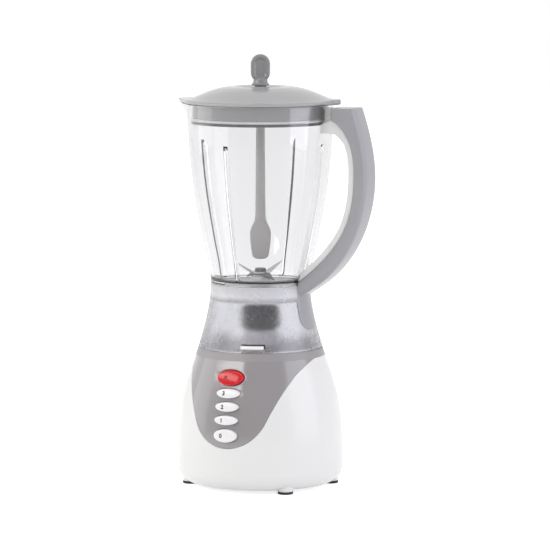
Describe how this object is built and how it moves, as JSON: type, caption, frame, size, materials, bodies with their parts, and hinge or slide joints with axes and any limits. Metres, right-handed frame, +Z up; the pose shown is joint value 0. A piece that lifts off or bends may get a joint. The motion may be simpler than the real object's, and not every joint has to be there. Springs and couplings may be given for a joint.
{
  "type": "countertop blender",
  "caption": "Countertop blender: rounded motor base with push buttons, flared clear jug with spout and side handle, domed lid with a stirrer, and a spinning blade set.",
  "frame": {"origin": "on the table, on the drive shaft's axis", "axes": "+Z up along the drive shaft, -Y to the button side, +X to the handle, -X to the spout"},
  "size_m": [0.1965, 0.1617, 0.4039],
  "materials": {
    "shell_white": "white glossy moulded ABS",
    "panel_grey": "grey glossy moulded ABS",
    "handle_grey": "pearl grey glossy ABS",
    "lid_grey": "pearl grey glossy ABS",
    "knob_grey": "grey glossy ABS",
    "clear_jug": "clear moulded SAN plastic",
    "frosted_collar": "frosted translucent plastic",
    "button_white": "white glossy ABS",
    "button_red": "red glossy ABS",
    "black_rubber": "black rubber",
    "grey_rubber": "dark grey silicone rubber",
    "black_plastic": "black glass-filled nylon",
    "white_plastic": "white nylon",
    "steel": "plain steel",
    "blade_steel": "ground stainless steel",
    "core_steel": "laminated core steel, lacquered",
    "copper": "enamelled copper",
    "bronze": "sintered bronze",
    "brass": "brass",
    "carbon": "pressed carbon"
  },
  "bodies": {
    "base": {"base_shell": "shell_white", "bottom_cover": "shell_white", "cover_screws": "steel", "rubber_feet": "black_rubber", "cord_inlet": "black_rubber", "control_panel": "panel_grey", "switch_block": "black_plastic", "switch_screws": "steel", "switch_terminals": "brass", "top_deck": "panel_grey", "spill_seal": "black_rubber", "stator_core": "core_steel", "field_coils": "copper", "upper_bracket": "steel", "lower_bracket": "steel", "bearings": "steel", "motor_bushes": "black_rubber", "motor_bolts": "steel", "brush_holders": "brass", "carbon_brushes": "carbon"},
    "rotor": {"motor_shaft": "steel", "armature_core": "core_steel", "armature_windings": "copper", "commutator": "copper", "cooling_fan": "black_plastic", "drive_coupling": "black_rubber"},
    "pulse": {"pulse_button": "button_red", "pulse_spring": "steel"},
    "jug": {"jug": "clear_jug", "jug_gasket": "grey_rubber", "collar": "frosted_collar", "handle_cover": "handle_grey", "handle_screw": "steel"},
    "carrier": {"blade_carrier": "white_plastic", "shaft_bush": "bronze"},
    "blades": {"blade_shaft": "steel", "upper_blade": "blade_steel", "lower_blade": "blade_steel", "blade_washer": "steel", "blade_nut": "steel", "driven_coupling": "black_plastic"},
    "lid": {"lid": "lid_grey", "lid_seal": "grey_rubber"},
    "swivel": {"stirrer_socket": "lid_grey"},
    "stirrer": {"stirrer_rod": "knob_grey", "stirrer_knob": "knob_grey"},
    "key_0": {"button_0": "button_white", "spring_0": "steel"},
    "key_1": {"button_1": "button_white", "spring_1": "steel"},
    "key_2": {"button_2": "button_white", "spring_2": "steel"},
    "key_3": {"button_3": "button_white", "spring_3": "steel"}
  },
  "joints": [
    {"name": "rotor_spin", "type": "hinge", "parent": "base", "child": "rotor", "pos_m": [0, 0, 0.1], "axis": [0, 0, 1], "continuous": true},
    {"name": "pulse_press", "type": "slide", "parent": "base", "child": "pulse", "axis": [0, 1, 0], "range_m": [0, 0.0035], "stiffness_N_per_m": 400},
    {"name": "button_0_press", "type": "slide", "parent": "base", "child": "key_0", "axis": [0, 1, 0], "range_m": [0, 0.0035], "stiffness_N_per_m": 400},
    {"name": "button_1_press", "type": "slide", "parent": "base", "child": "key_1", "axis": [0, 1, 0], "range_m": [0, 0.0035], "stiffness_N_per_m": 400},
    {"name": "button_2_press", "type": "slide", "parent": "base", "child": "key_2", "axis": [0, 1, 0], "range_m": [0, 0.0035], "stiffness_N_per_m": 400},
    {"name": "button_3_press", "type": "slide", "parent": "base", "child": "key_3", "axis": [0, 1, 0], "range_m": [0, 0.0035], "stiffness_N_per_m": 400},
    {"name": "jug_lift", "type": "slide", "parent": "base", "child": "jug", "axis": [0, 0, 1], "range_m": [0, 0.06]},
    {"name": "carrier_turn", "type": "hinge", "parent": "jug", "child": "carrier", "pos_m": [0, 0, 0.186], "axis": [0, 0, 1], "range_deg": [0, 60]},
    {"name": "blade_spin", "type": "hinge", "parent": "jug", "child": "blades", "pos_m": [0, 0, 0.186], "axis": [0, 0, 1], "continuous": true},
    {"name": "lid_lift", "type": "slide", "parent": "jug", "child": "lid", "axis": [0, 0, 1], "range_m": [0, 0.17]},
    {"name": "stirrer_turn", "type": "hinge", "parent": "lid", "child": "swivel", "pos_m": [0, 0, 0.3705], "axis": [0, 0, 1], "continuous": true},
    {"name": "stirrer_tilt", "type": "hinge", "parent": "swivel", "child": "stirrer", "pos_m": [0, 0, 0.3705], "axis": [0.4226, -0.9063, 0], "range_deg": [-8, 8]}
  ],
  "couplings": [
    {"joint": "blade_spin", "follows": "rotor_spin", "ratio": 1}
  ]
}
